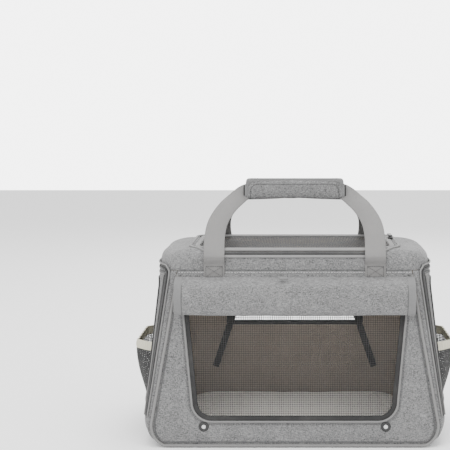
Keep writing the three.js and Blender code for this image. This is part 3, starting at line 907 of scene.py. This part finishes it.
def addDoorZip(name, side):
    low, high, angle, bend = (doorZip[key] for key in ("low", "high", "angle", "corner"))
    run = [Vector((-edgeDepth(z, angle), z)) for z in [mix(low, high - bend, i / 40) for i in range(41)]]
    half = edgeDepth(high, angle) - bend
    run += [Vector((mix(-half, half, i / 40), high)) for i in range(41)]
    run += [Vector((-p.x, p.y)) for p in reversed(run[:41])]
    path = [sidePoint(side, p.x, p.y, doorZip["lift"]) for p in run]
    ups = [sideUp(side, p.x, p.y) for p in run]
    addZip("doorZip_" + name, path, ups, "bag", doorZip["width"])
    last = len(path) - 1
    ends = [(path[max(i - 1, 0)], path[min(i + 1, last)]) for i in range(last + 1)]
    across = [(after - before).normalized().cross(up) for (before, after), up in zip(ends, ups)]
    for edge, label in ((-1, "inner"), (1, "outer")):
        line = [p + aside * edge * doorZip["edgeOut"] + up * zipper["lift"]
                for p, aside, up in zip(path, across, ups)]
        cord = sweep(f"doorZip_{name}Edge_{label}", line, roundSection(doorZip["edgeRadius"], 6),
                     lambda i: ups[i])
        dress(cord, "bag", pipingCloth)


def addPocket(name, side):
    def place(u, v, rise=None, pull=0.0):
        rise = v * pocket["netTop"] if rise is None else rise
        z = mix(pocket["low"], pocket["high"], rise)
        stand = mix(pocket["foot"], pocket["stand"], math.sin(rise * math.pi / 2))
        bow = min(1.0, math.sin(math.pi * min(max(u, 0.0), 1.0)) * 2.1) ** 0.8
        y = mix(-pocket["half"], pocket["half"], u)
        fold = math.sin(u * 46) * 0.0008 * rise * bow
        return sidePoint(side, y, z, max(0.0012, stand * bow - pull + fold))

    bodyName = "door_" + name
    net = gridPiece(f"pocketNet_{name}", 60, 16, place, uv=(0.19, 0.075))
    thicken(net, 0.0005)
    dress(net, bodyName, pocketNet, ["pocket_" + name])

    def elasticPlace(u, v):
        point = place(u, 0, rise=mix(pocket["elasticFrom"], 1.0, v), pull=0.0008)
        gather = math.sin(u * 210) * 0.0007 * math.sin(math.pi * v) + math.sin(math.pi * v) * 0.0008
        return point + Vector((side * gather, 0, 0))

    elastic = gridPiece(f"pocketElastic_{name}", 190, 6, elasticPlace, uv=(0.19, 0.014))
    thicken(elastic, 0.0016)
    dress(elastic, bodyName, elasticClothAndHighlight, ["pocket_elastic_" + name])


for name, side in sides:
    addDoor(name, side)
    addDoorZip(name, side)
    addPocket(name, side)
print("doors and pockets sewn")


# handles: one strap for each loop, from its seam on the face through the padded wrap

handle = dict(width=0.0315, thick=0.0021, root=0.122, pivotY=0.116, pivotZ=0.292, slotY=0.0036, joinZ=0.376)


def smoothRun(points, steps):
    run = []
    for i in range(len(points) - 1):
        a, b = points[max(i - 1, 0)], points[i]
        c, d = points[i + 1], points[min(i + 2, len(points) - 1)]
        for k in range(steps):
            t = k / steps
            run.append(0.5 * ((2 * b) + (c - a) * t + (2 * a - 5 * b + 4 * c - d) * t * t
                              + (3 * b - a - 3 * c + d) * t ** 3))
    return run + [points[-1]]


def addHandleStrap(name, sy, low):
    pivot = Vector((0, sy * handle["pivotY"], handle["pivotZ"]))
    top = Vector((0, sy * handle["slotY"], handle["joinZ"]))
    reach = (top - pivot).length
    along = (top - pivot).normalized()
    out = faceOut(sy)
    face = Vector((0, sy * along.z, abs(along.y)))
    upright = Vector((0, sy, 0))
    half = [(facePoint(sy, x, slope, 0.0018), out) for x, slope in low]
    half.append((Vector((handle["root"], sy * 0.1172, 0.2862)), out))
    arm = ((0.122, 0.02), (0.1228, 0.28), (0.1195, 0.52), (0.1085, 0.74), (0.0945, 0.9))
    half += [(pivot + along * reach * s + Vector((x, 0, 0)), face) for x, s in arm]
    half += [(Vector((0.079, sy * 0.0046, 0.3795)), (face + upright).normalized()),
             (Vector((0.06, sy * 0.0046, 0.3845)), upright), (Vector((0.03, sy * 0.0046, 0.385)), upright)]
    full = [(Vector((-p.x, p.y, p.z)), up) for p, up in half] + list(reversed(half))
    path = smoothRun([p for p, _ in full], 6)
    ups = smoothRun([up for _, up in full], 6)

    def section(i):
        near = max(0.0, 1 - max(0.0, abs(path[i].x) - 0.066) / 0.03) if path[i].z > 0.34 else 0.0
        # gathered into the wrap
        return flatSection(handle["width"] * (1 - 0.3 * near), handle["thick"], soft=0.5)

    strap = sweep(name, path, section, lambda i: ups[i])
    y = sy * handle["pivotY"]
    replaced = ["handle_webbing_" + ("front" if sy < 0 else "back")]
    replaced += [("front" if sy < 0 else "back") + "_strap_" + s for s, _ in sides]
    body = "handle_front" if sy < 0 else "handle_back"
    return dress(strap, ("bag", body, (0, y, 0.285), (0, y - sy * 0.004, 0.3)), webbing, replaced)


addHandleStrap("frontHandleStrap", -1, [(0.122, 0.2585), (0.122, 0.264), (0.122, 0.271), (0.122, 0.279)])
addHandleStrap("backHandleStrap", 1, [(0.1665, 0.1065), (0.161, 0.128), (0.154, 0.155), (0.1425, 0.2),
                                      (0.131, 0.245), (0.1245, 0.272)])
print("handle straps sewn")


# padded pieces

wrap = dict(half=0.0815, low=0.3662, high=0.4038, thick=0.0125, voxel=0.004, swell=0.0028)
floorPad = dict(halfWidth=0.178, halfDepth=0.128, corner=0.038, low=0.0088, thick=0.0145, voxel=0.005,
                swell=0.004)


def puffUp(piece, voxel, cap, pressure=4):
    applyModifier(piece, "REMESH", mode="VOXEL", voxel_size=voxel)
    pick(piece)
    begin = [v.co.copy() for v in piece.data.vertices]
    cloth = piece.modifiers.new("Cloth", "CLOTH")
    cloth.settings.use_pressure = True
    cloth.settings.uniform_pressure_force = pressure
    cloth.settings.effector_weights.gravity = 0
    for frameNumber in range(1, 21):
        bpy.context.scene.frame_set(frameNumber)
    bpy.ops.object.modifier_apply(modifier=cloth.name)
    bpy.context.scene.frame_set(1)
    for vertex, start in zip(piece.data.vertices, begin):
        move = vertex.co - start
        if move.length > cap:
            vertex.co = start + move.normalized() * cap
    applyModifier(piece, "SMOOTH", factor=0.5, iterations=2)
    applyModifier(piece, "SUBSURF", levels=1, render_levels=1)


def softBlock(name, low, high, corner):
    clearSelection()
    bpy.ops.mesh.primitive_cube_add(size=1)
    block = bpy.context.object
    block.name = block.data.name = name
    for vertex in block.data.vertices:
        vertex.co = Vector([mix(low[i], high[i], vertex.co[i] + 0.5) for i in range(3)])
    applyModifier(block, "BEVEL", width=corner, segments=4, limit_method="ANGLE")
    return block


def addWrap(sy, name):
    w = wrap
    near, far = sy * 0.0004, sy * w["thick"]
    wing = softBlock(f"wrap_{name}", (-w["half"] + w["swell"], min(near, far), w["low"] + 0.0015),
                     (w["half"] - w["swell"], max(near, far), w["high"] - 0.0015), 0.004)
    puffUp(wing, w["voxel"], w["swell"])
    for vertex in wing.data.vertices:
        if vertex.co.y * sy < 0.0003:
            vertex.co.y = sy * 0.0003   # the wings lie flat against each other
        vertex.co.z = min(max(vertex.co.z, w["low"]), w["high"])
    body = "handle_" + name
    dress(wing, body, heather, ["handle_wrap_" + name], angle=60)


def addFloorPad():
    p = floorPad
    clearSelection()
    bpy.ops.mesh.primitive_plane_add(size=2)
    pad = bpy.context.object
    pad.name = pad.data.name = "floorPadFleece"
    for vertex in pad.data.vertices:
        vertex.co = Vector((vertex.co.x * p["halfWidth"], vertex.co.y * p["halfDepth"], p["low"]))
    applyModifier(pad, "BEVEL", affect="VERTICES", width=p["corner"], segments=8)
    applyModifier(pad, "SOLIDIFY", thickness=p["thick"], offset=1)
    applyModifier(pad, "BEVEL", width=0.004, segments=3, limit_method="ANGLE", angle_limit=math.radians(60))
    puffUp(pad, p["voxel"], p["swell"])
    for vertex in pad.data.vertices:
        vertex.co.z = max(vertex.co.z, 0.0079)   # flat where it lies on the board
    dress(pad, "bag", fleece, ["floor_pad"], angle=60)


for sy, name in bagFaces:
    addWrap(sy, name)
addFloorPad()
print("padded pieces filled")


# the flap, rolled up above the window

roll = dict(half=0.1808, centre=0.2278, halfHigh=0.0258, halfDeep=0.0128, out=0.0186, thick=0.002, turns=2.3,
            shrink=0.2, seam=0.2592, most=0.0318)


def rollSection(v):
    r = roll
    turn = v * r["turns"] * math.tau
    k = 1 - r["shrink"] * v * r["turns"]
    lift = r["out"] + r["halfDeep"] * k * math.sin(turn)
    slope = r["centre"] + r["halfHigh"] * k * math.cos(turn)
    if v < 0.04:
        lift, slope = mix(0.0022, lift, v / 0.04), mix(r["seam"], slope, v / 0.04)
    return lift, slope


def rollPlace(u, v):
    lift, slope = rollSection(v)
    x = mix(-roll["half"], roll["half"], u)
    sag = noise.noise(Vector((x * 17, v * 3.1, 0.4))) * 0.0013 + math.sin(x * 24 + v * 9) * 0.0005
    lift += sag * min(1.0, v * 6)
    slope += sag * 0.7 * min(1.0, v * 6) - 0.0012 * math.cos(x / roll["half"] * math.pi / 2) * min(1.0, v * 8)
    return facePoint(-1, x, slope, min(lift, roll["most"]))


def addRoll():
    flap = gridPiece("rolledFlap", 90, 96, rollPlace, uv=(0.362, 0.3), away=None)
    editAll(flap, turnOutward)
    thicken(flap, roll["thick"], offset=0)
    dress(flap, "bag", heather, ["flap_roll"], angle=60)
    length = sum((rollPlace(0.5, (i + 1) / 200) - rollPlace(0.5, i / 200)).length for i in range(200))
    for name, u in (("left", (0.0, 0.032)), ("right", (0.968, 1.0))):
        end = gridPiece(f"flapBinding_{name}", 3, 96, lambda a, v: rollPlace(mix(*u, a), v), uv=(0.012, 0.3),
                        away=None)
        thicken(end, roll["thick"] + 0.0012, offset=0)
        dress(end, "bag", greyBinding, ["flap_binding_" + name], angle=60)
        edge = u[1] if name == "left" else u[0]
        path = [rollPlace(edge, mix(0.05, 0.45, i / 50)) for i in range(51)]
        middle = facePoint(-1, path[0].x, roll["centre"], roll["out"])
        ups = [(p - middle).normalized() for p in path]
        seam = sweep("flapSeam_" + name, [p + up * 0.0017 for p, up in zip(path, ups)],
                     flatSection(0.0011, 0.0007), lambda i: ups[i])
        dress(seam, "bag", darkThreadAndShadow)
    print("flap length", length)


addRoll()
machined("flapToggle", "flap_toggle", greyBinding, "bag", bevel=0.0004)
print("flap rolled")


# luggage sleeve

sleeve = dict(half=0.1248, low=0.0945, high=0.1212, out=0.0108, foot=0.007)


def sleevePlace(u, v, low=sleeve["low"], high=sleeve["high"], grow=0.0):
    x = mix(-sleeve["half"], sleeve["half"], u)
    rise = min(1.0, (sleeve["half"] - abs(x)) / sleeve["foot"])
    lift = mix(0.0016, sleeve["out"], math.sin(rise * math.pi / 2)) + grow
    return facePoint(1, x, mix(low, high, v), lift)


def addSleeve():
    strip = gridPiece("sleeveCloth", 100, 8, sleevePlace, uv=(0.25, 0.027))
    ruffle(strip, 0.03, 0.0008, 7)
    thicken(strip, 0.0024)
    dress(strip, "bag", heather, ["luggage_sleeve"])
    edges = (("lower", 0.095, 0.0992, ["sleeve_band_lower"], bindingCloth),
             ("upper", 0.1164, 0.1206, ["sleeve_band_upper"], bindingCloth),
             # the cream strip along the top edge is a painted highlight where light catches the edge
             ("edge", 0.1206, 0.1224, [], elasticClothAndHighlight))
    for name, low, high, replaced, material in edges:
        band = gridPiece(f"sleeveBand_{name}", 100, 2,
                         lambda u, v: sleevePlace(u, v, low, high, 0.0011), uv=(0.25, high - low))
        thicken(band, 0.0012 if replaced else 0.003)
        dress(band, "bag", material, replaced)


addSleeve()
print("sleeve sewn")


# hardware

for name, side in sides:
    machined(f"buckleFemale_{name}", "buckle_female_" + name, blackPlastic, "bag", 0.0008)
    machined(f"buckleMale_{name}", "buckle_male_" + name, blackPlastic, "buckle_male_" + name, 0.0006)
    for part in ("inner", "outer"):
        machined(f"buckleProng_{part}_{name}", f"buckle_prong_{part}_{name}", blackPlastic,
                 f"prong_{part}_{name}", 0.0006)
    machined(f"buckleTail_{name}", "buckle_tail_" + name, webbing, "bag", 0.0005)
    machined(f"snapRing_{name}", "snap_" + name, blackPlastic, "bag", 0.0006)
    machined(f"doorSlider_{name}", f"door_zip_{name}_slider", blackPlastic, f"door_zip_{name}_slider", 0.0007)
    machined(f"doorPull_{name}", f"door_zip_{name}_pull", blackPlastic, f"door_zip_{name}_pull", 0.0005)
machined("lidSlider", "lid_zip_slider", blackPlastic, "lid_zip_slider", 0.0007)
machined("lidPull", "lid_zip_pull", blackPlastic, "lid_zip_pull", 0.0005)
machined("baseBoard", "base_board", boardFace, "bag", 0.0008)
print("hardware fitted")


# small trim: snap eyes, dark strips inside the back, seams, wrap edging, pull cords and webbing loops

def addDome(name, place, out, radius, height, material, body):
    clearSelection()
    bpy.ops.mesh.primitive_uv_sphere_add(segments=20, ring_count=10, radius=1)
    dome = bpy.context.object
    dome.name = dome.data.name = name
    side = out.cross(Vector((0, 0, 1))).normalized()
    up = side.cross(out).normalized()
    for vertex in dome.data.vertices:
        c = vertex.co
        vertex.co = place + side * c.x * radius + up * c.y * radius + out * c.z * height
    editAll(dome, turnOutward)
    return dress(dome, body, material)


snapEye = dict(x=0.139, z=0.031, lift=0.0012, radius=0.0042, height=0.0016)
for name, side in sides:
    place = facePoint(-1, side * snapEye["x"], snapEye["z"] / math.cos(lean), snapEye["lift"])
    addDome("snapEye_" + name, place, faceOut(-1), snapEye["radius"], snapEye["height"], snapMetal, "bag")


insideStrip = dict(topX=0.08, lowX=0.138, top=0.24, low=0.068, lift=-0.0046, width=0.011, thick=0.0012)


def addInsideStrips():
    s = insideStrip
    for name, side in sides:
        run = [facePoint(1, side * mix(s["topX"], s["lowX"], t / 12), mix(s["top"], s["low"], t / 12),
                         s["lift"]) for t in range(13)]
        strip = sweep("insideStrip_" + name, run, flatSection(s["width"], s["thick"]), Vector((0, -1, 0)))
        dress(strip, "bag", bindingCloth)


def seamLine(name, path, ups, material, width, lift=0.0):
    line = sweep(name, [p + (ups(i) if callable(ups) else ups) * lift for i, p in enumerate(path)],
                 flatSection(width, 0.0007), ups)
    return dress(line, "bag", material)


def addFaceSeams():
    for sy, name in bagFaces:
        out = faceOut(sy)
        z = bag["seam"]
        half = faceHalf(z) - 0.003
        path = [facePoint(sy, mix(-half, half, i / 40), z / math.cos(lean), 0.0004) for i in range(41)]
        seamLine(name + "TopSeam", path, out, darkThreadAndShadow, 0.0013)
        if sy > 0:
            low = [facePoint(1, mix(-0.2, 0.2, i / 40), 0.021, 0.0009) for i in range(41)]
            seamLine("backLowSeam", low, out, darkThreadAndShadow, 0.0012)
            high = [facePoint(1, mix(-half, half, i / 40), 0.259, 0.0016) for i in range(41)]
            seamLine("backFoldSeam", high, out, darkThreadAndShadow, 0.0012)
        rows = [facePoint(sy, mix(-half, half, i / 90), z / math.cos(lean) - 0.0035, 0.0015)
                for i in range(91)]
        stitches(name + "TopStitches", rows, out, "bag")


def addWindowStitches():
    for sy, name, opening in ((-1, "front", frontOpening), (1, "back", backOpening)):
        out = faceOut(sy)
        loop = [facePoint(sy, p.x, p.y, 0.0022) for p in outlineLoop(opening(-0.0065), 176)]
        stitches(name + "WindowStitches", loop + loop[:1], out, "bag", darkThreadAndShadow)


addInsideStrips()
addFaceSeams()
addWindowStitches()


boxStitch = dict(half=0.0125, slant=0.27, lift=0.0031, pitch=0.0034, length=0.0023)
strapBoxes = ((-1, "front", 0.122, 0.2605, 0.276), (1, "back", 0.1655, 0.1125, 0.134))


def addStrapStitches():
    b = boxStitch
    for name, side in sides:
        for sy, face, centre, low, high in strapBoxes:
            x0, x1 = side * centre - b["half"], side * centre + b["half"]
            out = faceOut(sy)
            shiftX = (lambda slope: -side * (slope - low) * b["slant"]) if sy > 0 else (lambda slope: 0.0)
            knots = [(x0, low), (x1, low), (x1, high), (x0, high),
                     (x0, low), (x1, high), (x1, low), (x0, high)]
            path = [facePoint(sy, x + shiftX(slope), slope, b["lift"]) for x, slope in knots]
            stitches(f"{face}StrapStitches_{name}", path, out, "bag", darkThreadAndShadow, b["pitch"], b["length"])


buckleLoop = dict(x=0.169, width=0.0245, thick=0.0018, start=0.112, end=0.0885)


def addBuckleLoops():
    for name, side in sides:
        x = side * buckleLoop["x"]
        points = [(0.104, 0.0022), (0.096, 0.0024), (0.0885, 0.0032), (0.0845, 0.0056), (0.0858, 0.0092),
                  (0.092, 0.0106), (0.1, 0.0088), (0.108, 0.0062), (0.113, 0.0052)]
        run = smoothRun([facePoint(1, x, slope, lift) for slope, lift in points], 4)

        def up(i):
            step = run[min(i + 1, len(run) - 1)] - run[max(i - 1, 0)]
            return Vector((1, 0, 0)).cross(step).normalized()

        loop = sweep("buckleLoop_" + name, run, flatSection(buckleLoop["width"], buckleLoop["thick"]), up)
        ends = (facePoint(1, x, buckleLoop["start"]), facePoint(1, x, buckleLoop["end"]))
        dress(loop, ("bag", "buckle_male_" + name, *ends), webbing)


wrapEdge = dict(half=0.0765, low=0.3685, high=0.3995, corner=0.012)
wrapMouth = dict(inset=0.0012, y=0.0056, reachY=0.0042, z=0.3805, reachZ=0.0095, radius=0.0011)


def addWrapTrim():
    wing = bpy.data.objects["wrap_front"]
    wing.data.update()
    bpy.context.view_layer.update()
    w, m = wrapEdge, wrapMouth
    bends = [math.pi / 2 * (1 - k / 6) for k in range(7)]

    def outline(inset):
        half, high, r = w["half"] - inset, w["high"] - inset, w["corner"]
        turn = [(half - r + r * math.sin(a), high - r + r * math.cos(a)) for a in bends]
        right = [(half, mix(w["low"], high - r, k / 8)) for k in range(8)] + turn
        top = [(mix(half - r, -half + r, k / 30), high) for k in range(1, 30)]
        return right + top + [(-x, z) for x, z in reversed(right)]

    lines = (("Edge", 0.0, greyBinding, flatSection(0.0055, 0.0016), 0.0007),
             ("Seam", 0.0065, darkThreadAndShadow, flatSection(0.0009, 0.0008), 0.0004))
    for name, inset, material, section, lift in lines:
        path = []
        for x, z in outline(inset):
            hit, place, _, _ = wing.ray_cast(Vector((x, -0.05, z)), Vector((0, 1, 0)))
            path.append(place - Vector((0, lift, 0)) if hit else Vector((x, -wrap["thick"] + 0.002, z)))
        trim = sweep("wrap" + name, path, section, Vector((0, -1, 0)))
        dress(trim, "handle_front", material)
    for sy, name in bagFaces:
        for label, side in sides:
            x = side * (wrap["half"] - m["inset"])
            ring = [Vector((x, sy * (m["y"] + m["reachY"] * math.cos(a)), m["z"] + m["reachZ"] * math.sin(a)))
                    for a in [math.tau * k / 24 for k in range(24)]]
            mouth = sweep(f"wrapMouth_{name}_{label}", ring, roundSection(m["radius"], 6), Vector((1, 0, 0)),
                          closed=True)
            dress(mouth, "handle_" + name, bindingCloth)


def addPullCords():
    for name, side in sides:
        low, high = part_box(f"door_zip_{name}_pull")
        foot = Vector((side * (high.x if side > 0 else -low.x), (low.y + high.y) / 2, low.z + 0.003))
        foot.x -= side * 0.004
        steps = ((0, 0, 0), (0.004, 0.001, -0.006), (0.0055, 0.004, -0.014), (0.003, 0.002, -0.019),
                 (0.0015, -0.001, -0.012), (0.0005, -0.001, -0.003))
        bow = smoothRun([foot + Vector((side * x, y, z)) for x, y, z in steps], 6)
        cord = sweep("pullTab_" + name, bow, roundSection(0.0013, 8), Vector((0, 1, 0)))
        dress(cord, f"door_zip_{name}_pull", bindingCloth)


addStrapStitches()
addBuckleLoops()
addWrapTrim()
addPullCords()
print("trim finished")
